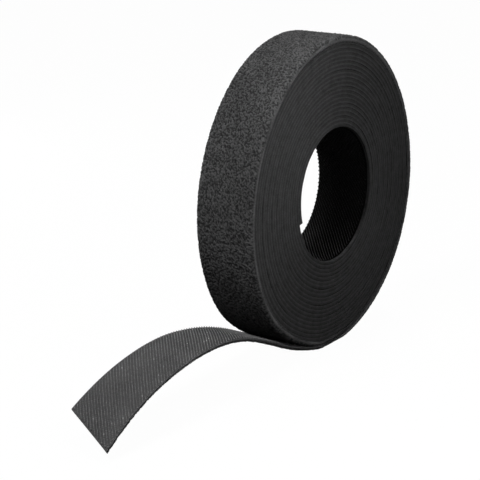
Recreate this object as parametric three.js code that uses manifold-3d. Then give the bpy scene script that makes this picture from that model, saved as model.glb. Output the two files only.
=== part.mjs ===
// A roll of back-to-back hook and loop tape, wound without a core, with its free end lying out in front.
// Millimetres, +Z up. The origin is the middle of the flat that the roll stands on, the roll's axis runs
// along Y, and the free end leaves at the bottom towards -X.
import * as THREE from "three";
import Module from "manifold-3d";

const TAPE_WIDTH = 20;
const HOOK_THICKNESS = 0.48; // backing and hooks, on the inside of every turn
const LOOP_THICKNESS = 0.48; // backing and pile, on the outside of every turn
const BOND_LINE = 0.1; // the glue between the two backings

const OUTER_RADIUS = 52; // over the loop side of the last turn, at the bottom
const BORE_RADIUS = 21.6; // to the hook side at the inner end
const WHOLE_TURNS = 21; // besides the part turn from the inner end round to the bottom
const STEPS_PER_TURN = 24;
const INNER_END = -15; // degrees, round from -X by way of +Z, where the winding starts
const BOTTOM = 270;
const PEEL_PAST_BOTTOM = 7.5; // degrees past the bottom at which the last turn lets go of the roll
const FOOT_DEPTH = 0.5; // how far the bottom of the last turn is pressed flat

const TAIL_LENGTH = 122.5; // of the free end along its longer edge, from the peel line to the tip of the cut
const TAIL_RISE = 0.22 * TAIL_LENGTH; // the stretch that still curls up with the set of the roll
const TAIL_RISE_RADIUS = 0.67 * TAIL_LENGTH;
const TAIL_DROOP_RADIUS = 0.755 * TAIL_LENGTH; // the rest arches over and down
const TAIL_BENDS = [0.18, 0.46, 0.74].map((share) => share * TAIL_LENGTH); // from the peel line
const TAIL_STEP = TAIL_LENGTH / 30; // longest straight piece of the free end
const BEND_GAP = 0.6; // between neighbouring lengths of the free end
const CUT_SLANT = 11; // how much shorter the far edge of the free end is than the near edge

const LAMINATE = HOOK_THICKNESS + BOND_LINE + LOOP_THICKNESS;
const AXIS_HEIGHT = OUTER_RADIUS - FOOT_DEPTH;
const LAST_ANGLE = BOTTOM + 360 * WHOLE_TURNS + PEEL_PAST_BOTTOM;
const PITCH =
  (360 * (OUTER_RADIUS - LAMINATE - BORE_RADIUS)) / (LAST_ANGLE - PEEL_PAST_BOTTOM - INNER_END);

// A layer lies between two distances from the bond line, with the loop side positive.
const HOOK_LAYER = [-BOND_LINE / 2 - HOOK_THICKNESS, -BOND_LINE / 2];
const LOOP_LAYER = [BOND_LINE / 2, BOND_LINE / 2 + LOOP_THICKNESS];

// A place on the bond line: a point in the X-Z plane and the direction that the loop side faces.
function woundPlace(angle) {
  const turn = THREE.MathUtils.degToRad(angle);
  const face = new THREE.Vector2(-Math.cos(turn), Math.sin(turn));
  const radius = BORE_RADIUS + (PITCH * (angle - INNER_END)) / 360 - HOOK_LAYER[0];
  const point = face.clone().multiplyScalar(radius).add(new THREE.Vector2(0, AXIS_HEIGHT));
  return { point, face };
}

// The free end follows two arcs, the first one hollow side up and the second hollow side down.
function tailPlace(reach) {
  const start = woundPlace(LAST_ANGLE);
  let heading = THREE.MathUtils.degToRad(PEEL_PAST_BOTTOM);
  const point = start.point.clone();
  const arcs = [
    [Math.min(reach, TAIL_RISE), 1 / TAIL_RISE_RADIUS],
    [Math.max(reach - TAIL_RISE, 0), -1 / TAIL_DROOP_RADIUS],
  ];
  for (const [length, curve] of arcs) {
    const next = heading + curve * length;
    point.x -= (Math.sin(next) - Math.sin(heading)) / curve;
    point.y += (Math.cos(heading) - Math.cos(next)) / curve;
    heading = next;
  }
  return { point, face: new THREE.Vector2(-Math.sin(heading), -Math.cos(heading)) };
}

// Turn angles from the inner end to the peel line, with one straight piece level at the bottom.
function windingAngles() {
  const step = 360 / STEPS_PER_TURN;
  const angles = [];
  for (let angle = LAST_ANGLE; angle > INNER_END + step / 4; angle -= step) angles.unshift(angle);
  return [INNER_END, ...angles];
}

function tailReaches(from, to) {
  const pieces = Math.ceil((to - from) / TAIL_STEP);
  return Array.from({ length: pieces + 1 }, (_, i) => from + ((to - from) * i) / pieces);
}

// The two long edges of a layer seen along the roll's axis.
function edgesOf(places, layer) {
  return layer.map((offset) => places.map(({ point, face }) => point.clone().addScaledVector(face, offset)));
}

// The flat that the roll stands on: what would lie below it is pressed up to it.
function pressFlat(edges) {
  return edges.map((edge) => edge.map(({ x, y }) => new THREE.Vector2(x, Math.max(y, 0))));
}

function band([inner, outer]) {
  const outline = new THREE.Shape([...inner, ...[...outer].reverse()]);
  return new THREE.ExtrudeGeometry(outline, { depth: TAPE_WIDTH, bevelEnabled: false })
    .translate(0, 0, -TAPE_WIDTH / 2)
    .rotateX(Math.PI / 2);
}

const wasm = await Module();
wasm.setup();

function toSolid(geometry) {
  const merged = new wasm.Mesh({
    numProp: 3,
    vertProperties: new Float32Array(geometry.attributes.position.array),
    triVerts: Uint32Array.from({ length: geometry.attributes.position.count }, (_, i) => i),
  });
  merged.merge();
  return new wasm.Manifold(merged);
}

function toGeometry(solid) {
  const mesh = solid.getMesh();
  const geometry = new THREE.BufferGeometry();
  geometry.setAttribute("position", new THREE.BufferAttribute(mesh.vertProperties, 3));
  geometry.setIndex(new THREE.BufferAttribute(mesh.triVerts, 1));
  geometry.computeVertexNormals();
  return geometry;
}

// The slanted cut: a wedge that takes the far corner off the end of the free length.
function slantCut(geometry) {
  const near = tailPlace(TAIL_LENGTH).point;
  const far = tailPlace(TAIL_LENGTH - CUT_SLANT).point;
  const lead = (far.x - near.x) / TAPE_WIDTH;
  const past = 2;
  const wedge = new THREE.Shape([
    new THREE.Vector2(near.x - lead * past, -TAPE_WIDTH / 2 - past),
    new THREE.Vector2(far.x + lead * past, TAPE_WIDTH / 2 + past),
    new THREE.Vector2(near.x - 3 * CUT_SLANT, TAPE_WIDTH / 2 + past),
    new THREE.Vector2(near.x - 3 * CUT_SLANT, -TAPE_WIDTH / 2 - past),
  ]);
  const block = new THREE.ExtrudeGeometry(wedge, { depth: AXIS_HEIGHT, bevelEnabled: false });
  return toGeometry(toSolid(geometry).subtract(toSolid(block.translate(0, 0, -past))));
}

// The least distance from a layer's outer edge to its own inner edge at least half a turn further on.
function leastGap([inner, outer]) {
  let least = Infinity;
  outer.forEach((a, i) => {
    for (let k = i + STEPS_PER_TURN / 2; k < inner.length; k++) {
      least = Math.min(least, a.distanceTo(inner[k]));
    }
  });
  return least;
}

const hookMaterial = new THREE.MeshStandardMaterial({ color: 0x39393b, roughness: 0.55, metalness: 0 });
const loopMaterial = new THREE.MeshStandardMaterial({ color: 0x2b2b2c, roughness: 0.95, metalness: 0 });

const part = new THREE.Group();
part.name = "hook_and_loop_tape_roll";

function add(name, geometry, material) {
  const mesh = new THREE.Mesh(geometry, material);
  mesh.name = name;
  part.add(mesh);
}

// The winding, with the short stretch past the peel line that still stands off the roll like a lip.
const lip = tailReaches(0, TAIL_BENDS[0] - BEND_GAP / 2).slice(1);
const woundPlaces = [...windingAngles().map(woundPlace), ...lip.map(tailPlace)];
for (const [name, layer, material] of [
  ["hook_tape_wound", HOOK_LAYER, hookMaterial],
  ["loop_tape_wound", LOOP_LAYER, loopMaterial],
]) {
  const edges = pressFlat(edgesOf(woundPlaces, layer));
  add(name, band(edges), material);
  const gap = leastGap(edges).toFixed(2);
  console.log(`${name}: one unbroken band of ${woundPlaces.length - 1} steps, least gap to itself ${gap} mm`);
}

// The free end in three lengths that bend on each other.
["root", "mid", "end"].forEach((length, i) => {
  const last = i === TAIL_BENDS.length - 1;
  const from = TAIL_BENDS[i] + BEND_GAP / 2;
  const to = last ? TAIL_LENGTH : TAIL_BENDS[i + 1] - BEND_GAP / 2;
  const places = tailReaches(from, to).map(tailPlace);
  for (const [side, layer, material] of [
    ["hook", HOOK_LAYER, hookMaterial],
    ["loop", LOOP_LAYER, loopMaterial],
  ]) {
    const strip = band(edgesOf(places, layer));
    add(`${side}_tape_tail_${length}`, last ? slantCut(strip) : strip, material);
  }
});

export default part;
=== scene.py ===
import math

import bpy
import numpy as np
from mathutils import Matrix, Vector


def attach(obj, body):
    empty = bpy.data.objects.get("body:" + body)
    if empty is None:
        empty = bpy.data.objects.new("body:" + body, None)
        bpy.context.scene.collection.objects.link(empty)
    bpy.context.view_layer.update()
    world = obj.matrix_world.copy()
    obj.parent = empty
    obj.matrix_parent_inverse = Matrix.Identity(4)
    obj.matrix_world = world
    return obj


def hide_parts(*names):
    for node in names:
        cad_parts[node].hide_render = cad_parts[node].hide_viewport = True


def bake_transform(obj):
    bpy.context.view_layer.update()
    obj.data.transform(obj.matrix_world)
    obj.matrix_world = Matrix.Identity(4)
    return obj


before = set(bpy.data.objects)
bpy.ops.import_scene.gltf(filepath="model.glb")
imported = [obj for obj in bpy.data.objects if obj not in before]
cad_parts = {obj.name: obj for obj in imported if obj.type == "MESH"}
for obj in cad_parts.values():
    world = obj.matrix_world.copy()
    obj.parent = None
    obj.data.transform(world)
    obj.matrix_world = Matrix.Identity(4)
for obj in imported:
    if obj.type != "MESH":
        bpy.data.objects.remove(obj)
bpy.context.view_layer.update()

# A roll of back-to-back hook and loop tape, with its free end lying out in front.
# Lengths are in millimetres until place() turns points into metres. Angles are in degrees, round from -X by
# way of the top. Offsets from the bond line between the two strips are positive towards the loop side.
PER_METRE = 1000

# Sizes of the part, the same as in its source
WIDTH = 20.0
HOOK = 0.48                 # thickness of the hook strip
LOOP = 0.48                 # thickness of the loop strip
BOND = 0.1
OUTER = 52.0
BORE = 21.6
TURNS = 21
INNER_END = -15.0
BOTTOM = 270.0
PEEL = 7.5                  # how far past the bottom the last turn lets go of the roll
FOOT = 0.5                  # how far the bottom is pressed flat
TAIL = 122.5                # the free end along its longer edge
SLANT = 11.0                # how much shorter its far edge is
RISE = 0.22 * TAIL          # the stretch that curls up, before the rest arches over and down
RISE_RADIUS = 0.67 * TAIL
DROOP_RADIUS = 0.755 * TAIL
BENDS = (0.18 * TAIL, 0.46 * TAIL, 0.74 * TAIL)
AXIS_Z = OUTER - FOOT
LAST = BOTTOM + 360 * TURNS + PEEL
PITCH = 360 * (OUTER - HOOK - BOND - LOOP - BORE) / (LAST - PEEL - INNER_END)

# How the winding is uneven
STEP_DEG = 3.0              # one straight piece of the wound bands
WANDER = 0.06               # typical distance that a turn stands proud of the side
WANDER_LENGTH = 55.0        # the stretch of tape over which that changes
BREATHING = 0.03            # typical distance that a turn lies off the even winding
BREATHING_LENGTH = 30.0
START_SETTLES = 60.0        # the breathing dies out over this angle at the inner end
END_SETTLES = 120.0         # both die out over this angle before the peel line
LOBES = 3                   # the roll is out of round in this many lobes
LOBE = 0.35
LOBE_AT = 88.0
LOBE_CLEAR = 30.0           # the lobes die out over this angle either side of the peel line
SAG = 0.5                   # how far the roll bulges above the free end
SAG_AT = -42.0
SAG_WIDTH = 15.0
ROUND_POWER = 3             # how fast the lobes and the bulge grow from the bore outwards
SQUAT = 0.35                # how far the bore is squashed at its top and bottom
SQUAT_TURNS = 8.0           # the turns over which that fades
FOOT_REACH = 8.0            # the depth over which the flat foot fades towards the axis

# How far the two edges of the free end stand above its plain curve, by distance from the peel line
EDGE_AT = (0, 12, 18, 24, 36, 48, 56, 64, 84, 102, 123)
NEAR_RISE = (0, 0.25, 0.1, -0.05, -0.4, 0.45, 0.7, 0.65, 0.25, 0.2, -0.15)
FAR_RISE = (0, 1.0, 1.35, 1.1, 0.5, 0.15, 0.03, 0.1, -0.3, -0.3, 0.15)
EDGE_SMOOTH = (-4, -2, 0, 2, 4)     # the rise at a place is the mean over these steps along the tape
EDGE_START = 6.0                    # the rise sets in over this length

# Seeds of the random draws. A piece also uses the few numbers that follow its own.
WANDER_SEED = 11
BREATHING_SEED = 12
HOOK_BAND_SEED = 21
LOOP_BAND_SEED = 31
TREAD_SEED = 41
BORE_SEED = 51
TAIL_HOOK_SEED = 61
TAIL_PILE_SEED = 71
TAIL_PILE_SEEDS = 4         # from one length of the free end to the next
HOOK_TONE_SEED = 100        # added to the seed of a hook field


def degrees_from(angle, centre):
    """Degrees from a centre, the short way round."""
    return (np.asarray(angle) - centre + 180) % 360 - 180


def wound(angle):
    """Points of the bond line on the roll seen along the axis, and the way the loop side faces."""
    a = np.radians(np.asarray(angle, float))
    face = np.stack([-np.cos(a), np.sin(a)], -1)
    turns = (np.asarray(angle) - INNER_END) / 360
    even = BORE + PITCH * turns + HOOK + BOND / 2
    off_peel = np.abs(degrees_from(angle, LAST))
    lobe = LOBE * np.cos(LOBES * (a - math.radians(LOBE_AT))) * np.clip(off_peel / LOBE_CLEAR, 0, 1)
    sag = SAG * np.exp(-((degrees_from(angle, SAG_AT) / SAG_WIDTH) ** 2))
    squat = SQUAT * np.sin(a) ** 2 * np.exp(-turns / SQUAT_TURNS)
    radius = even + (lobe + sag) * (even / OUTER) ** ROUND_POWER - squat
    return face * radius[..., None] + [0, AXIS_Z], face


PEEL_POINT = wound(np.array([LAST]))[0][0]


def share_across(y):
    """0 at the near edge of the tape, 1 at the far edge."""
    return np.asarray(y) / WIDTH + 0.5


def edge_rise(s, rise):
    return np.mean([np.interp(s + step, EDGE_AT, rise) for step in EDGE_SMOOTH], 0)


def tail(reach, y=0.0):
    """The same as wound() along the free end, by distance from the peel line, at y across it."""
    s = np.asarray(reach, float)
    point = np.broadcast_to(PEEL_POINT, s.shape + (2,)).copy()
    heading = np.full(s.shape, math.radians(PEEL))
    rising = (np.minimum(s, RISE), 1 / RISE_RADIUS)
    drooping = (np.maximum(s - RISE, 0), -1 / DROOP_RADIUS)
    for length, curve in (rising, drooping):
        after = heading + curve * length
        point[..., 0] -= (np.sin(after) - np.sin(heading)) / curve
        point[..., 1] += (np.cos(heading) - np.cos(after)) / curve
        heading = after
    near = edge_rise(s, NEAR_RISE)
    far = edge_rise(s, FAR_RISE)
    point[..., 1] += (near + (far - near) * share_across(y)) * np.clip(s / EDGE_START, 0, 1)
    return point, np.stack([-np.sin(heading), -np.cos(heading)], -1)


def settle(xz):
    """Presses the bottom of the roll flat on the table, less and less towards the axis."""
    x = xz[..., 0]
    z = xz[..., 1]
    sunk = np.maximum(0, np.sqrt(np.maximum(OUTER ** 2 - x ** 2, 0)) - AXIS_Z)
    depth = np.maximum(0, OUTER - np.hypot(x, z - AXIS_Z))
    lifted = z + np.where(z < AXIS_Z, sunk * np.exp(-depth / FOOT_REACH), 0)
    return np.stack([x, np.maximum(lifted, 0.0)], -1)


def place(point, face, offset, y):
    """World points in metres at an offset from the bond line and at y across the tape."""
    xz = settle(point + face * np.asarray(offset)[..., None])
    y = np.broadcast_to(y, xz.shape[:-1])
    return np.stack([xz[..., 0], y, xz[..., 1]], -1) / PER_METRE


def smooth_walk(along, spacing, seed, size):
    """A smooth random value along a length, with knots this far apart."""
    rng = np.random.default_rng(seed)
    knots = np.arange(along.min() - 2 * spacing, along.max() + 3 * spacing, spacing)
    values = rng.standard_normal(len(knots)) * size
    t = (along - knots[0]) / spacing
    i = np.clip(t.astype(int), 1, len(knots) - 3)
    f = t - i
    w = f * f * (3 - 2 * f)
    return values[i] * (1 - w) + values[i + 1] * w


def new_object(name, verts, faces, material, smooth=True, tone=None):
    """A mesh object. Its tone is a value for each point that some materials scale their colour by."""
    mesh = bpy.data.meshes.new(name)
    mesh.from_pydata(np.asarray(verts).tolist(), [], faces)
    if tone is not None:
        values = mesh.attributes.new("tone", "FLOAT", "POINT").data
        values.foreach_set("value", np.asarray(tone, np.float32))
    if smooth:
        mesh.polygons.foreach_set("use_smooth", [True] * len(mesh.polygons))
    mesh.materials.append(material)
    mesh.update()
    obj = bpy.data.objects.new(name, mesh)
    bpy.context.scene.collection.objects.link(obj)
    return obj


def ring_band(rows):
    """A closed band from rows of points round its section: rows has shape (stations, points, 3)."""
    n, m, _ = rows.shape
    i, k = np.meshgrid(np.arange(n - 1), np.arange(m), indexing="ij")
    a = i * m + k
    b = i * m + (k + 1) % m
    faces = np.stack([a, b, b + m, a + m], -1).reshape(-1, 4).tolist()
    faces.append(list(range(m))[::-1])
    faces.append([(n - 1) * m + j for j in range(m)])
    return rows.reshape(-1, 3), faces


def slab(top, left, right):
    """A closed slab: a fine grid on top, one strip of faces below, walls between."""
    n, m, _ = top.shape
    verts = np.concatenate([top.reshape(-1, 3), left, right])
    lo = (n * m + np.arange(n)).tolist()
    hi = (n * m + n + np.arange(n)).tolist()
    i, k = np.meshgrid(np.arange(n - 1), np.arange(m - 1), indexing="ij")
    a = (i * m + k).ravel()
    faces = np.stack([a, a + m, a + m + 1, a + 1], -1).tolist()
    for j in range(n - 1):
        p = j * m
        q = (j + 1) * m
        faces.append([lo[j], lo[j + 1], q, p])
        faces.append([p + m - 1, q + m - 1, hi[j + 1], hi[j]])
        faces.append([lo[j], hi[j], hi[j + 1], lo[j + 1]])
    faces.append([lo[0], *range(m), hi[0]])
    end = (n - 1) * m
    faces.append([hi[-1], *range(end + m - 1, end - 1, -1), lo[-1]])
    return verts, faces


def unit(vectors):
    """Vectors of length 1, with a trace added so that none is divided by zero."""
    return vectors / (np.linalg.norm(vectors, axis=-1, keepdims=True) + 1e-12)


def tubes(lines, radius, sides):
    """One closed tube round each of many lines: lines has shape (count, points, 3), radius (points,)."""
    count, steps, _ = lines.shape
    tangent = unit(np.gradient(lines, axis=1))
    chord = lines[:, -1] - lines[:, 0]
    bow = lines[:, steps // 2] - (lines[:, 0] + lines[:, -1]) / 2
    side = np.broadcast_to(unit(np.cross(chord, bow))[:, None], lines.shape)
    up = np.cross(side, tangent)
    turn = 2 * np.pi * (np.arange(sides) + 0.5) / sides
    ring = np.cos(turn)[:, None] * side[:, :, None] + np.sin(turn)[:, None] * up[:, :, None]
    verts = lines[:, :, None] + ring * np.broadcast_to(radius, (steps,))[None, :, None, None]
    j, k = np.meshgrid(np.arange(steps - 1), np.arange(sides), indexing="ij")
    a = (j * sides + k).ravel()
    b = (j * sides + (k + 1) % sides).ravel()
    walls = np.stack([a, a + sides, b + sides, b], -1)
    start = steps * sides * np.arange(count)[:, None]
    quads = (walls[None] + start[..., None]).reshape(-1, 4).tolist()
    first = (np.arange(sides)[None] + start).tolist()
    last = (np.arange(sides)[::-1][None] + (steps - 1) * sides + start).tolist()
    return verts.reshape(-1, 3), quads + first + last


def joined(*parts):
    """Several sets of points and faces as one."""
    verts = []
    faces = []
    base = 0
    for part_verts, part_faces in parts:
        verts.append(np.asarray(part_verts))
        faces += [[x + base for x in face] for face in part_faces]
        base += len(part_verts)
    return np.concatenate(verts), faces


# Materials
COOL = 1.01                 # blue over red and green in all the blacks
GRAIN_DETAIL = (4.0, 0.65)  # detail and roughness of the noise for the filament grain
PATCH_DETAIL = (2.0, 0.5)   # the same for the patches of wear and lint
GRAIN_SHARE = 0.7
PATCH_SHARE = 0.3
DARK_AT = 0.34              # noise values that take the dark and the light colour
LIGHT_AT = 0.66
ROUGHNESS_SPREAD = 0.08
SHEEN_ROUGHNESS = 0.45
GRAIN_BUMP = 0.6
GRAIN_DEPTH = 0.0002        # metres


def nodes_of(name):
    material = bpy.data.materials.new(name)
    material.use_nodes = True
    tree = material.node_tree
    return material, tree, tree.nodes["Principled BSDF"]


def link(tree, a, b):
    tree.links.new(a, b)


def math_node(tree, operation, *values):
    """A math node whose inputs are sockets or plain numbers."""
    node = tree.nodes.new("ShaderNodeMath")
    node.operation = operation
    for socket, value in zip(node.inputs, values):
        if isinstance(value, (int, float)):
            socket.default_value = value
        else:
            link(tree, value, socket)
    return node.outputs[0]


def map_range(tree, value, low, high):
    """A value from 0 to 1, stretched to run from low to high."""
    node = tree.nodes.new("ShaderNodeMapRange")
    node.inputs["To Min"].default_value = low
    node.inputs["To Max"].default_value = high
    link(tree, value, node.inputs["Value"])
    return node.outputs[0]


def noise(tree, coords, scale, detail, rough):
    node = tree.nodes.new("ShaderNodeTexNoise")
    node.inputs["Scale"].default_value = scale
    node.inputs["Detail"].default_value = detail
    node.inputs["Roughness"].default_value = rough
    link(tree, coords, node.inputs["Vector"])
    return node.outputs["Fac"]


def ramp(tree, value, stops):
    node = tree.nodes.new("ShaderNodeValToRGB")
    for element, (at, level) in zip(node.color_ramp.elements, stops):
        element.position = at
        element.color = (level, level, COOL * level, 1.0)
    link(tree, value, node.inputs["Fac"])
    return node.outputs["Color"]


def bump(tree, bsdf, height):
    node = tree.nodes.new("ShaderNodeBump")
    node.inputs["Strength"].default_value = GRAIN_BUMP
    node.inputs["Distance"].default_value = GRAIN_DEPTH
    link(tree, height, node.inputs["Height"])
    link(tree, node.outputs["Normal"], bsdf.inputs["Normal"])


def textile(name, dark, light, roughness, fine, coarse, sheen=0.0, specular=0.0):
    """Black nylon: fine filament grain over slow patches of wear and lint."""
    material, tree, bsdf = nodes_of(name)
    coords = tree.nodes.new("ShaderNodeTexCoord").outputs["Object"]
    grain = noise(tree, coords, fine, *GRAIN_DETAIL)
    patch = noise(tree, coords, coarse, *PATCH_DETAIL)
    patches = math_node(tree, "MULTIPLY", patch, PATCH_SHARE)
    mixed = math_node(tree, "MULTIPLY_ADD", grain, GRAIN_SHARE, patches)
    link(tree, ramp(tree, mixed, ((DARK_AT, dark), (LIGHT_AT, light))), bsdf.inputs["Base Color"])
    smoothest = roughness - ROUGHNESS_SPREAD
    roughest = min(1.0, roughness + ROUGHNESS_SPREAD)
    link(tree, map_range(tree, grain, smoothest, roughest), bsdf.inputs["Roughness"])
    bsdf.inputs["Specular IOR Level"].default_value = specular
    bsdf.inputs["Sheen Weight"].default_value = sheen
    bsdf.inputs["Sheen Roughness"].default_value = SHEEN_ROUGHNESS
    bump(tree, bsdf, grain)
    return material


def scale_by_tone(material, low, high):
    """Scales the base colour by the mesh's own tone, from low at tone 0 to high at tone 1."""
    tree = material.node_tree
    socket = tree.nodes["Principled BSDF"].inputs["Base Color"]
    plain = socket.links[0].from_socket
    tone = tree.nodes.new("ShaderNodeAttribute")
    tone.attribute_name = "tone"
    scaled = tree.nodes.new("ShaderNodeVectorMath")
    scaled.operation = "SCALE"
    link(tree, plain, scaled.inputs[0])
    link(tree, map_range(tree, tone.outputs["Fac"], low, high), scaled.inputs["Scale"])
    link(tree, scaled.outputs[0], socket)


PILE = textile("loop_pile", dark=0.036, light=0.089, roughness=0.9, fine=2600.0, coarse=60.0, sheen=0.02)
LOOP_EDGE = textile("loop_backing", dark=0.047, light=0.101, roughness=0.9, fine=3200.0, coarse=400.0)
HOOK_EDGE = textile("hook_backing", dark=0.067, light=0.129, roughness=0.65, fine=2400.0, coarse=400.0)
# The hooks of the free end are lighter than their backing: with specular almost off, part of their colour is
# painted sheen, the glancing reflection of the plastic
HOOKS = textile("hook_field", dark=0.125, light=0.222, roughness=0.5, fine=1800.0, coarse=90.0,
                specular=0.01)
# Backing between the hooks of the free end: darker than the hook backing's edges, painted shade in the
# valleys between the rows of hooks
HOOK_BASE_PAINTED_SHADE = textile("hook_base_painted_shade", dark=0.05, light=0.102, roughness=0.6, fine=1800.0, coarse=90.0)
# Inner face of the first turn, behind the bore's hooks: near black, painted shade of the deep bore
BORE_LINING_PAINTED_SHADE = textile("bore_lining_painted_shade", dark=0.002, light=0.006, roughness=0.7, fine=1800.0, coarse=90.0)
# Bevelled edge of the first turn: a dark copy of the hook backing, painted shade grading from the bore into
# the face; its tone adds painted light towards the bottom
BORE_EDGE_PAINTED = textile("bore_edge_painted", dark=0.015, light=0.035, roughness=0.8, fine=2400.0, coarse=400.0)
# Hooks inside the bore: a far darker copy of the hook field, painted shade of the deep bore; their tone adds
# painted light towards its bottom
BORE_HOOKS_PAINTED = textile("bore_hooks", dark=0.016, light=0.038, roughness=0.7, fine=1800.0, coarse=90.0,
                     sheen=0.1)
TAIL_EDGE = textile("tail_edge", dark=0.13, light=0.22, roughness=0.8, fine=2400.0, coarse=400.0)
# The pile's tone carries painted shade in the pits between its tufts and a painted highlight on its rims
scale_by_tone(PILE, low=0.45, high=3.6)
scale_by_tone(HOOKS, low=0.75, high=2.0)
scale_by_tone(BORE_HOOKS_PAINTED, low=0.22, high=2.6)
scale_by_tone(BORE_EDGE_PAINTED, low=1.0, high=3.6)


# Camera at the photograph's angle, with the roll's axis level
CAMERA_AZIMUTH = math.radians(-56.34)
CAMERA_ELEVATION = math.radians(15.49)
CAMERA_DISTANCE = 10.82 * OUTER / PER_METRE     # from the middle of the roll's axis
CAMERA_RIGHT = -0.4448 * OUTER / PER_METRE
CAMERA_UP = -0.3216 * OUTER / PER_METRE
CAMERA_LENS = 127.24
CAMERA_SENSOR = 36
CAMERA_CLIP = 0.01

right = Vector((math.cos(CAMERA_AZIMUTH), math.sin(CAMERA_AZIMUTH), 0))
level_back = Vector((math.sin(CAMERA_AZIMUTH), -math.cos(CAMERA_AZIMUTH), 0))
back = level_back * math.cos(CAMERA_ELEVATION) + Vector((0, 0, math.sin(CAMERA_ELEVATION)))
up = back.cross(right)
axis_middle = Vector((0, 0, AXIS_Z / PER_METRE))
camera = bpy.data.objects.new("camera", bpy.data.cameras.new("camera"))
camera.data.sensor_width = CAMERA_SENSOR
camera.data.lens = CAMERA_LENS
camera.data.clip_start = CAMERA_CLIP
camera.location = axis_middle + back * CAMERA_DISTANCE + right * CAMERA_RIGHT + up * CAMERA_UP
camera.rotation_mode = "QUATERNION"
camera.rotation_quaternion = Matrix((right, up, back)).transposed().to_quaternion()
bpy.context.scene.collection.objects.link(camera)
bpy.context.scene.camera = camera


# Sizes of the brushed pile
PILE_GRID = 0.25
PILE_HIGH = 0.45
PILE_PLAIN = 0.25           # shares of its height that are even, tufted and ragged
PILE_TUFTED = 0.6
PILE_RAGGED = 0.15
PILE_THIN = 0.5             # how much of its height it loses on its sides
PILE_SUNK = 0.12            # how far its base lies under the loop strip's outer face
PILE_BASE = BOND / 2 + LOOP - PILE_SUNK
PILE_UNDER = 0.1            # how far it reaches down into the tape past its lowest edge
PILE_OVERHANG = 0.28        # how far it stands out past the edges of the last turn
SHOULDER = 1.0              # how it rounds over the edges of the last turn
SKIRT = 1.0                 # and hangs down the sides
TAIL_SHOULDER = 0.3         # the same on the free end
TAIL_SKIRT = 0.02
ROUND_STEPS = 7             # steps of its grid over an edge and down a side
SKIRT_STEPS = 6
TREAD_TURN = 372.0          # the pile covers the last turn and a little more
TREAD_FROM = LAST - TREAD_TURN
PILE_GROWS = 40.0           # the angles over which its rounding sets in and dies out again
PILE_ENDS = 50.0


def full_pile(angle):
    """1 round most of the last turn, down to 0 where the turn begins and where the free end leaves it."""
    return np.clip((LAST - angle) / PILE_ENDS, 0, 1) * np.clip((angle - TREAD_FROM) / PILE_GROWS, 0, 1)


def shoulder_at(angle):
    return TAIL_SHOULDER + (SHOULDER - TAIL_SHOULDER) * full_pile(angle)


# Wound bands
FRAY_LENGTH = 1.5           # the stretch of tape over which a frayed edge changes
TUCK_OVER = 10.0            # the angle over which the bands are tucked in under the pile
TUCK_SHARE = 0.9            # of the pile's shoulder that their edges are drawn in
TUCK_UNDER = 0.08           # how far their outer face lies under the pile's base
OVERLAP = 0.04              # how far each band reaches into the bond
HOOK_FILL = 0.08            # how far the bands pass their strips, so that no light falls between turns
LOOP_FILL = 0.16
BACKING = 0.30              # hook backing without its hooks
LINING = 0.05               # the bore's lining behind the hooks, over that backing
INNER_BEVEL_OUT = 0.45      # worn inner edge of the first turn
INNER_BEVEL_ACROSS = 0.8
BARE_TURN = (300.0, 400.0)  # angles from the inner end over which the bevel of the first turn and its painted shade end
INNER_SPRING = 1.0          # how far the inner end stands into the bore
SPRING_OVER = 45.0          # the angle over which that fades
PAINTED_LIGHT_DEPTHS = (0.5, 0.9)       # depths below the bore's middle, in radii, over which the first turn's bevelled edge gets painted light

angles = np.linspace(INNER_END, LAST, int((LAST - INNER_END) / STEP_DEG) + 1)
wound_point, wound_face = wound(angles)
turn_length = np.radians(angles - INNER_END) * np.linalg.norm(wound_point - [0, AXIS_Z], axis=1)
settled_end = np.clip((LAST - angles) / END_SETTLES, 0, 1)
settled_start = np.clip((angles - INNER_END) / START_SETTLES, 0, 1)
wander = smooth_walk(turn_length, WANDER_LENGTH, WANDER_SEED, WANDER)
wander *= settled_end
breathing = smooth_walk(turn_length, BREATHING_LENGTH, BREATHING_SEED, BREATHING)
breathing *= settled_end * settled_start
wound_point = wound_point + wound_face * breathing[:, None]


def inner_spring(angle):
    return INNER_SPRING * np.exp(-(angle - INNER_END) / SPRING_OVER)


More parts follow.
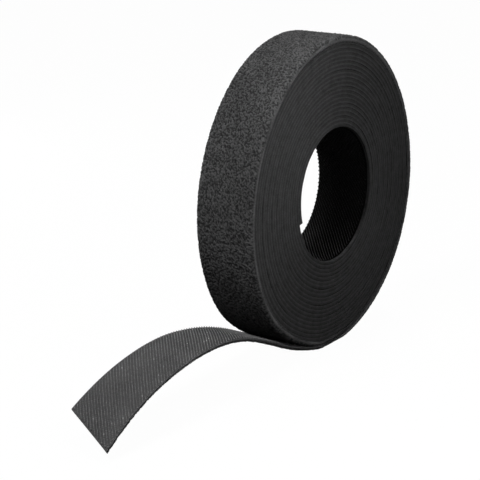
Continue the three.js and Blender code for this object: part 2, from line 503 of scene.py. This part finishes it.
def wound_band(name, layer, round_off, fray, seed, material, inside=()):
    """One wound strip.

    Two materials for the inside go on its inner face and on the bevelled edge of its first turn: darker
    copies that are painted shade of the bore, the edge with painted light towards the bottom."""
    lo, hi = layer
    under_pile = np.clip((angles - TREAD_FROM) / TUCK_OVER, 0, 1)
    tuck = TUCK_SHARE * shoulder_at(angles) * under_pile
    near = -WIDTH / 2 + wander + smooth_walk(turn_length, FRAY_LENGTH, seed, fray) + tuck
    far = WIDTH / 2 + wander + smooth_walk(turn_length, FRAY_LENGTH, seed + 1, fray) - tuck
    hi = np.minimum(hi, hi + (PILE_BASE - TUCK_UNDER - hi) * under_pile)
    bevel_out = round_off
    bevel_across = round_off
    first = np.interp(angles - INNER_END, BARE_TURN, (1, 0))
    if inside:
        bevel_out = round_off + (INNER_BEVEL_OUT - round_off) * first
        bevel_across = round_off + (INNER_BEVEL_ACROSS - round_off) * first
        lo = lo + (-BOND / 2 - BACKING - LINING - lo) * first - inner_spring(angles)
    section = [
        (lo, near + bevel_across),
        (lo + bevel_out, near),
        (hi - round_off, near),
        (hi, near + round_off),
        (hi, far - round_off),
        (hi - round_off, far),
        (lo + round_off, far),
        (lo, far - round_off),
    ]
    count = len(section)
    offsets = [np.broadcast_to(offset, len(angles)) for offset, _ in section]
    rows = np.stack([place(wound_point, wound_face, o, y) for o, (_, y) in zip(offsets, section)], 1)
    # Painted light on the first turn's bevelled edge, lighter the lower it lies in the bore; only the bore
    # edge's material reads this tone
    painted_light = np.interp(-np.sin(np.radians(angles)), PAINTED_LIGHT_DEPTHS, (0, 1))
    obj = new_object(name, *ring_band(rows), material, smooth=False, tone=np.repeat(painted_light, count))
    if inside:
        for extra in inside:
            obj.data.materials.append(extra)
        for i in range(len(angles) - 1):
            obj.data.polygons[i * count + count - 1].material_index = 1
            if first[i] > 0:
                obj.data.polygons[i * count].material_index = 2
    return obj


hook_wound = wound_band("hook_band_wound", layer=(-BOND / 2 - HOOK - HOOK_FILL, -BOND / 2 + OVERLAP),
                        round_off=0.1, fray=0.02, seed=HOOK_BAND_SEED, material=HOOK_EDGE,
                        inside=(BORE_LINING_PAINTED_SHADE, BORE_EDGE_PAINTED))
loop_wound = wound_band("loop_band_wound", layer=(BOND / 2 - OVERLAP, BOND / 2 + LOOP + LOOP_FILL),
                        round_off=0.14, fray=0.04, seed=LOOP_BAND_SEED, material=LOOP_EDGE)


# Brushed pile
TUFT_WAVE = 1.6             # from one tuft to the next
TUFT_SPREAD = 1.5           # how much that varies
TUFT_CONTRAST = 2.0
CLUMP_WAVE = 4.0            # the same for the clumps that the tufts lie in
CLUMP_CONTRAST = 0.35
TUFT_TONE = 0.34            # tone on top of a tuft: the tone follows the tufts' height, so the pits between them carry painted shade
WALL_TONE = 0.12            # tone of the hidden underside
RIM_AT = 0.15               # how far down its sides the pile has a rim of painted highlight, in place of the light its edge fibres catch
RIM_HALF = 0.55
RIM_CORE = 1.3              # over 1, the rim is even in its middle
RIM_SKIRT = 2               # the rim fades where the pile hangs down by less than 1 over this
RIM_LENGTH = 6.0            # the stretch over which the rim's strength changes
RIM_MEAN = 0.7
RIM_VARIES = 0.3
RIM_LEAST = 0.2
RIM_HIGHLIGHT_TONE = 0.65
RIM_HIGHLIGHT_RAGGED = 0.25           # how much the rim's tone varies
FIBRE_RADIUS = 0.045
FIBRE_SIDES = 3
FIBRE_POINTS = 5
FIBRE_REACH = 0.35          # least half length of a loose fibre, and how much longer it can be
FIBRE_LONGER = 0.5
FIBRE_SWAY = 0.15
FIBRE_LIFT = 0.05           # how far a fibre stands up at least, and how much higher it can be
FIBRE_HIGHER = 0.12
FIBRE_DIP = 0.1             # how far its ends go down into the pile
FIBRE_TONE = 0.1            # tone of the darkest fibre, and how much lighter it can be
FIBRE_LIGHTER = 0.55
FIBRE_ROW_MARGIN = 6        # rows and columns of the pile's grid that are left free of fibres
FIBRE_COLUMN_MARGIN = 2
TREAD_FIBRES = 9000
TAIL_FIBRES = 28            # for each millimetre of the free end


def tufts(n, m, row_step, column_step, seed):
    """A field of winding tufts, from 0 to 1."""
    rng = np.random.default_rng(seed)
    k = np.hypot(np.fft.fftfreq(n, row_step)[:, None], np.fft.rfftfreq(m, column_step)[None])
    middle = 1 / TUFT_WAVE
    tuft_band = np.exp(-(((k - middle) / (TUFT_SPREAD * middle)) ** 2))
    clump_band = np.exp(-((k * CLUMP_WAVE) ** 2))
    tuft = np.fft.irfft2(np.fft.rfft2(rng.standard_normal((n, m))) * tuft_band, s=(n, m))
    clump = np.fft.irfft2(np.fft.rfft2(rng.standard_normal((n, m))) * clump_band, s=(n, m))
    return 0.5 + 0.5 * np.tanh(TUFT_CONTRAST * tuft / tuft.std() + CLUMP_CONTRAST * clump / clump.std())


def sampled(grid, row, column):
    """Values of a grid, or of a grid of vectors, at places between its points."""
    values = grid if grid.ndim == 3 else grid[..., None]
    i = np.clip(row.astype(int), 0, grid.shape[0] - 2)
    k = np.clip(column.astype(int), 0, grid.shape[1] - 2)
    a = np.clip(row - i, 0, 1)[..., None]
    b = np.clip(column - k, 0, 1)[..., None]
    before = values[i, k] * (1 - a) + values[i + 1, k] * a
    after = values[i, k + 1] * (1 - a) + values[i + 1, k + 1] * a
    return before * (1 - b) + after * b


def pile_piece(name, locate, rows, length, rounding, overhang, skirt, shift, base, seed, fibres):
    """Pile on the loop side of a stretch of tape: a tufted slab, rounded over its edges, with loose fibres.

    locate gives the place on the bond line from the share of the length and the place across."""
    # The columns of its grid: up one side, over the flat and down the other side
    arc = np.radians(np.linspace(0, 90, ROUND_STEPS + 1)[1:])
    drop = np.linspace(0, 1, SKIRT_STEPS + 1)[1:]
    flat = np.linspace(-1, 1, int(WIDTH / PILE_GRID))
    side = np.concatenate([arc, np.full(len(drop), math.pi / 2)])
    lean = np.concatenate([-side[::-1], 0 * flat, side])
    hang = np.concatenate([drop[::-1], np.zeros(2 * len(arc) + len(flat)), drop])
    across = np.concatenate([-np.ones(len(side)), flat, np.ones(len(side))])
    columns = len(across)
    row_step = length / rows

    # The tufted surface and the two edges of its underside
    tuft = tufts(rows, columns, row_step, PILE_GRID, seed)
    fuzz = np.random.default_rng(seed + 1).random((rows, columns))
    swell = PILE_HIGH * (PILE_PLAIN + PILE_TUFTED * tuft + PILE_RAGGED * fuzz)
    swell = swell * (1 - hang) * (1 - PILE_THIN * np.abs(np.sin(lean)))
    high = PILE_BASE - rounding * (1 - np.cos(lean)) - skirt * hang + swell * np.cos(lean)
    flat_half = WIDTH / 2 + overhang * (1 - hang ** 2) - rounding
    y = across * flat_half + (rounding + swell) * np.sin(lean) + shift
    u = np.broadcast_to(np.linspace(0, 1, rows)[:, None], y.shape)
    point, face = locate(u, y)
    base = np.broadcast_to(base, high.shape)
    top = place(point, face, high, y)
    near_foot = place(point[:, 0], face[:, 0], base[:, 0], y[:, 0])
    far_foot = place(point[:, -1], face[:, -1], base[:, -1], y[:, -1])

    # Loose fibres that arch over the surface
    rng = np.random.default_rng(seed + 2)
    margin = len(side) + FIBRE_COLUMN_MARGIN
    row = rng.integers(FIBRE_ROW_MARGIN, rows - FIBRE_ROW_MARGIN, fibres)[:, None]
    column = rng.integers(margin, columns - margin, fibres)[:, None]
    heading = rng.random(fibres)[:, None] * np.pi
    reach = FIBRE_REACH + FIBRE_LONGER * rng.random(fibres)[:, None]
    sway = rng.standard_normal(fibres)[:, None] * FIBRE_SWAY
    along = np.linspace(-1, 1, FIBRE_POINTS)
    bow = 1 - along ** 2
    row = row + (np.cos(heading) * along * reach - np.sin(heading) * sway * bow) / row_step
    column = column + (np.sin(heading) * along * reach + np.cos(heading) * sway * bow) / PILE_GRID
    lift = (FIBRE_LIFT + FIBRE_HIGHER * rng.random(fibres)[:, None] ** 2) * bow
    lift = lift - FIBRE_DIP * (np.abs(along) == 1)
    fibre_tone = FIBRE_TONE + FIBRE_LIGHTER * rng.random(fibres) ** 2
    fibre_high = sampled(high, row, column)[..., 0] + lift
    fibre_y = sampled(y, row, column)[..., 0]
    lines = place(sampled(point, row, column), sampled(face, row, column), fibre_high, fibre_y)

    # Tones: painted shade in the pits between the tufts, lighter tuft tops, and a painted highlight on the
    # rims down the sides
    # The rim is painted highlight: a lighter band down the pile's sides standing in for light caught by the
    # edge fibres
    down_side = (np.abs(lean) - math.pi / 2) * rounding + hang * skirt
    rim_highlight = np.clip(RIM_CORE - np.abs(down_side - RIM_AT) / RIM_HALF, 0, 1) * np.clip(RIM_SKIRT * skirt, 0, 1)
    strength = RIM_MEAN + smooth_walk(np.linspace(0, length, rows), RIM_LENGTH, seed + 3, RIM_VARIES)
    rim_highlight = rim_highlight * np.clip(strength, RIM_LEAST, 1)[:, None]
    shade = TUFT_TONE * tuft * (1 - rim_highlight) + (RIM_HIGHLIGHT_TONE + RIM_HIGHLIGHT_RAGGED * fuzz) * rim_highlight
    foot_tone = np.full(2 * rows, WALL_TONE)
    tone = np.concatenate([shade.ravel(), foot_tone, np.repeat(fibre_tone, FIBRE_POINTS * FIBRE_SIDES)])
    loose = tubes(lines, FIBRE_RADIUS / PER_METRE, FIBRE_SIDES)
    return new_object(name, *joined(slab(top, near_foot, far_foot), loose), PILE, tone=tone)


def tread_place(u, y):
    angle = TREAD_FROM + u * (LAST - TREAD_FROM)
    point, face = wound(angle)
    return point + face * np.interp(angle, angles, breathing)[..., None], face


tread_length = math.radians(LAST - TREAD_FROM) * OUTER
tread_rows = int(tread_length / PILE_GRID)
tread_angles = np.linspace(TREAD_FROM, LAST, tread_rows)[:, None]
tread_rounding = shoulder_at(tread_angles)
tread_skirt = SKIRT * full_pile(tread_angles)
pile_wound = pile_piece("loop_pile_wound", tread_place, tread_rows, tread_length,
                        rounding=tread_rounding, overhang=PILE_OVERHANG * full_pile(tread_angles),
                        skirt=tread_skirt, shift=np.interp(tread_angles, angles, wander),
                        base=PILE_BASE - tread_rounding - tread_skirt - PILE_UNDER,
                        seed=TREAD_SEED, fibres=TREAD_FIBRES)


# Hooks
HOOK_ALONG = 1.39           # staggered rows: from one hook to the next along the tape and across it
HOOK_ACROSS = 1.1
HOOK_NEAR_MARGIN = 0.25
HOOK_FAR_MARGIN = 0.2
HOOK_LINE = ((-0.27, 0), (-0.23, 0.17), (-0.03, 0.26), (0.2, 0.22), (0.32, 0.1))   # forwards and up
HOOK_RADII = (0.2, 0.19, 0.19, 0.18, 0.13)
HOOK_SIDES = 4
HOOK_ROOT = 0.05            # how deep a hook stands in the backing
HOOK_JITTER = 0.02          # how much hooks vary in place, lean and size
HOOK_LEAN = 0.06
HOOK_VARIES = 0.06
HOOK_TONE = 0.3             # most tone of a plain hook
PAINTED_GLINT_FROM = 0.99          # hooks that draw more than this get a painted glint: full tone in place of a specular sparkle
CUT_MARGIN = 0.5            # free of hooks at the slanted cut
BORE_START = 1.0            # free of hooks at the two ends of the first turn
BORE_END = 0.5
BORE_BARE = 1.2             # free of hooks at the near edge of the bore
BORE_SHIFT = 0.3            # the bore's rows lie this much further in
BORE_PAINTED_LIGHT_POWER = 3         # how fast the painted light on the bore's hooks grows towards the bottom
BORE_PATH_RADIUS = BORE + HOOK


def hook_rows(start, end):
    """Staggered hook places as distance along the tape and place across it."""
    found = []
    spacing = HOOK_ALONG / 2
    for row in range(math.floor(start / spacing), math.ceil(end / spacing) + 1):
        s = row * HOOK_ALONG / 2
        shift = (row % 2) * HOOK_ACROSS / 2
        for y in np.arange(-WIDTH / 2 + HOOK_NEAR_MARGIN + shift, WIDTH / 2 - HOOK_FAR_MARGIN, HOOK_ACROSS):
            if start <= s < end:
                found.append((s, y))
    return np.array(found)


def hook_lines(rows, path, seed):
    """The middle line of each hook. Hooks point along the slanting rows that the stagger makes."""
    rng = np.random.default_rng(seed)
    s = rows[:, 0] + rng.standard_normal(len(rows)) * HOOK_JITTER
    y = rows[:, 1] + rng.standard_normal(len(rows)) * HOOK_JITTER
    lean = rng.standard_normal((len(rows), 2)) * HOOK_LEAN
    size = 1 + rng.standard_normal(len(rows)) * HOOK_VARIES
    slanting = math.hypot(HOOK_ALONG, HOOK_ACROSS)
    lines = []
    for forward, height in HOOK_LINE:
        along = s + HOOK_ALONG / slanting * forward * size + lean[:, 0] * height
        across = y - HOOK_ACROSS / slanting * forward * size + lean[:, 1] * height
        point, face = path(along, across)
        lines.append(place(point, face, -(BOND / 2 + BACKING - HOOK_ROOT + height * size), across))
    return np.stack(lines, 1)


def hook_piece(name, rows, path, seed, material, tone):
    lines = hook_lines(rows, path, seed)
    radii = np.array(HOOK_RADII) / PER_METRE
    return new_object(name, *tubes(lines, radii, HOOK_SIDES), material,
                      tone=np.repeat(tone, HOOK_SIDES * len(HOOK_LINE)))


def bore_path(reach, y):
    angle = INNER_END + np.degrees(reach / BORE_PATH_RADIUS)
    point, face = wound(angle)
    return point - face * inner_spring(angle)[..., None], face


bore_rows = hook_rows(BORE_START, 2 * math.pi * BORE_PATH_RADIUS - BORE_END)
bore_rows = bore_rows[bore_rows[:, 1] > BORE_BARE - WIDTH / 2] + [0, BORE_SHIFT]
bore_turn = math.radians(INNER_END) + bore_rows[:, 0] / BORE_PATH_RADIUS
# Painted light: the bore's hooks get lighter towards its bottom, where light reaches in
bore_painted_light = np.clip(-np.sin(bore_turn), 0, 1) ** BORE_PAINTED_LIGHT_POWER
bore_hooks = hook_piece("bore_hooks", bore_rows, bore_path, BORE_SEED, BORE_HOOKS_PAINTED, bore_painted_light)


# The free end, in three pieces, each around one of the bend lines
SPLITS = (0.0, 39.0, 73.0, TAIL)    # where the dressed free end is divided, about midway between the bends
BLEND_HALF = 10.0                   # points this far either side of a bend line are found; no bend is spread over them
TAIL_STEP = 0.5
TAIL_OVERLAP = 0.02                 # how far each band reaches into the bond
TAIL_HOOK_LAYER = (-BOND / 2 - BACKING, -BOND / 2 + TAIL_OVERLAP)
TAIL_LOOP_SUNK = 0.1                # how far the loop band lies under its strip's face, in the pile
TAIL_LOOP_LAYER = (BOND / 2 - TAIL_OVERLAP, BOND / 2 + LOOP - TAIL_LOOP_SUNK)
TAIL_HOOK_ROUND = 0.08
TAIL_LOOP_ROUND = 0.12
WIDE_FACES = (3, 7)                 # faces of a band's section that aren't on its edges


def tail_band(name, a, b, layer, round_off, material):
    """One strip of a length of the free end, from a to b. The last length ends at the slanted cut."""
    lo, hi = layer
    inset = round_off / WIDTH
    section = [
        (lo, inset),
        (lo + round_off, 0),
        (hi - round_off, 0),
        (hi, inset),
        (hi, 1 - inset),
        (hi - round_off, 1),
        (lo + round_off, 1),
        (lo, 1 - inset),
    ]
    offset, v = np.array(section).T
    end = b - (SLANT * v if b >= TAIL else 0 * v)
    u = np.linspace(0, 1, int((b - a) / TAIL_STEP) + 1)
    s = a + u[:, None] * (end - a)[None]
    y = (-WIDTH / 2 + v * WIDTH)[None]
    point, face = tail(s, y)
    rows = place(point, face, np.broadcast_to(offset, s.shape), y)
    obj = new_object(name, *ring_band(rows), material, smooth=False)
    obj.data.materials.append(TAIL_EDGE)
    for k in range((len(rows) - 1) * len(section)):
        if k % len(section) not in WIDE_FACES:
            obj.data.polygons[k].material_index = 1
    return obj


def tail_pile(name, a, b, seed):
    def locate(u, y):
        slant = SLANT * np.clip(share_across(y), 0, 1) if b >= TAIL else 0
        return tail(a + u * (b - slant - a), y)

    return pile_piece(name, locate, int((b - a) / PILE_GRID) + 1, b - a,
                      rounding=TAIL_SHOULDER, overhang=0.0, skirt=TAIL_SKIRT, shift=0.0, base=BOND / 2,
                      seed=seed, fibres=int((b - a) * TAIL_FIBRES))


def tail_hooks(name, a, b, seed):
    rows = hook_rows(a, b)
    limit = TAIL - SLANT * share_across(rows[:, 1]) - CUT_MARGIN
    rows = rows[rows[:, 0] < limit]
    chance = np.random.default_rng(seed + HOOK_TONE_SEED).random(len(rows))
    # A few hooks get full tone as painted glints; the rest vary at random
    tone = np.where(chance > PAINTED_GLINT_FROM, 1.0, HOOK_TONE * chance)
    return hook_piece(name, rows, tail, seed, HOOKS, tone)


def on_line(reach):
    point, _ = tail(np.array([reach]))
    return (point[0, 0] / PER_METRE, 0.0, point[0, 1] / PER_METRE)


for i, name in enumerate(("root", "mid", "end")):
    a = SPLITS[i]
    b = SPLITS[i + 1]
    hook_band = tail_band(f"hook_band_tail_{name}", a, b, TAIL_HOOK_LAYER, TAIL_HOOK_ROUND, HOOK_BASE_PAINTED_SHADE)
    loop_band = tail_band(f"loop_band_tail_{name}", a, b, TAIL_LOOP_LAYER, TAIL_LOOP_ROUND, LOOP_EDGE)
    hooks = tail_hooks(f"hooks_tail_{name}", a, b, TAIL_HOOK_SEED + i)
    pile = tail_pile(f"loop_pile_tail_{name}", a, b, TAIL_PILE_SEED + TAIL_PILE_SEEDS * i)
    bend_start = on_line(BENDS[i] - BLEND_HALF)
    bend_end = on_line(BENDS[i] + BLEND_HALF)
    for piece in (hook_band, loop_band, hooks, pile):
        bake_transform(piece)
    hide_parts(f"hook_tape_tail_{name}")
    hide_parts(f"loop_tape_tail_{name}")

for piece in (hook_wound, bore_hooks):
    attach(piece, "roll")
for piece in (loop_wound, pile_wound):
    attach(piece, "roll")
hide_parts("hook_tape_wound")
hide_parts("loop_tape_wound")


# Floor and world
FLOOR_HALF = 3.0            # metres
FLOOR_WHITE = 0.98          # share of the floor that shows as plain white: the rest takes the shadow
FLOOR_PALE = 0.95           # the floor's colour as it is seen
FLOOR_BOUNCE = 0.02         # the floor's colour as it lights the roll from below
WORLD_WHITE = 1.0           # the same two for the world
WORLD_LIGHT = 0.01


def seen_as_white(tree):
    """1 for what the camera, a mirror or glass sees, else 0."""
    path = tree.nodes.new("ShaderNodeLightPath")
    seen = math_node(tree, "MAXIMUM", path.outputs["Is Camera Ray"], path.outputs["Is Glossy Ray"])
    return math_node(tree, "MAXIMUM", seen, path.outputs["Is Transmission Ray"])


floor_mesh = bpy.data.meshes.new("floor")
corners = [(-FLOOR_HALF, -FLOOR_HALF, 0), (FLOOR_HALF, -FLOOR_HALF, 0),
           (FLOOR_HALF, FLOOR_HALF, 0), (-FLOOR_HALF, FLOOR_HALF, 0)]
floor_mesh.from_pydata(corners, [], [(0, 1, 2, 3)])
floor = bpy.data.objects.new("floor", floor_mesh)
bpy.context.scene.collection.objects.link(floor)
floor_material, tree, bsdf = nodes_of("floor")
white = seen_as_white(tree)
link(tree, map_range(tree, white, FLOOR_BOUNCE, FLOOR_PALE), bsdf.inputs["Base Color"])
bsdf.inputs["Roughness"].default_value = 1.0
bsdf.inputs["Specular IOR Level"].default_value = 0.0
glow = tree.nodes.new("ShaderNodeEmission")
mixer = tree.nodes.new("ShaderNodeMixShader")
link(tree, math_node(tree, "MULTIPLY", white, FLOOR_WHITE), mixer.inputs["Fac"])
link(tree, bsdf.outputs[0], mixer.inputs[1])
link(tree, glow.outputs[0], mixer.inputs[2])
link(tree, mixer.outputs[0], tree.nodes["Material Output"].inputs["Surface"])
floor_mesh.materials.append(floor_material)

world = bpy.data.worlds.new("world")
bpy.context.scene.world = world
world.use_nodes = True
tree = world.node_tree
background = tree.nodes["Background"]
background.inputs["Color"].default_value = (1, 1, 1, 1)
link(tree, map_range(tree, seen_as_white(tree), WORLD_LIGHT, WORLD_WHITE), background.inputs["Strength"])


# Lamps: places and sizes in metres
def lamp(name, at, aim, size, watts):
    data = bpy.data.lights.new(name, "AREA")
    data.shape = "DISK"
    data.size = size
    data.energy = watts
    obj = bpy.data.objects.new(name, data)
    obj.location = at
    obj.rotation_mode = "QUATERNION"
    obj.rotation_quaternion = (Vector(at) - Vector(aim)).to_track_quat("Z", "Y")
    obj.visible_camera = False
    bpy.context.scene.collection.objects.link(obj)


lamp("key", at=(-0.369, 0.05, 0.483), aim=(-0.03, 0, 0.05), size=0.2, watts=2.05)
lamp("low", at=(-0.5, 0.05, 0.25), aim=(-0.03, 0, 0.05), size=0.2, watts=0.065)
lamp("top", at=(0.25, 0.1, 0.72), aim=(0, 0, 0.1), size=0.3, watts=2.28)
lamp("front", at=(-0.03, -0.09, 0.15), aim=(-0.01, 0, 0.08), size=0.04, watts=0.033)
lamp("front_low", at=(-0.09, -0.12, 0.07), aim=(-0.02, 0, 0.05), size=0.06, watts=0.043)
lamp("back", at=(0.1, 0.42, 0.06), aim=(0, 0, 0.05), size=0.1, watts=0.6)

bpy.context.scene.view_settings.view_transform = "Standard"
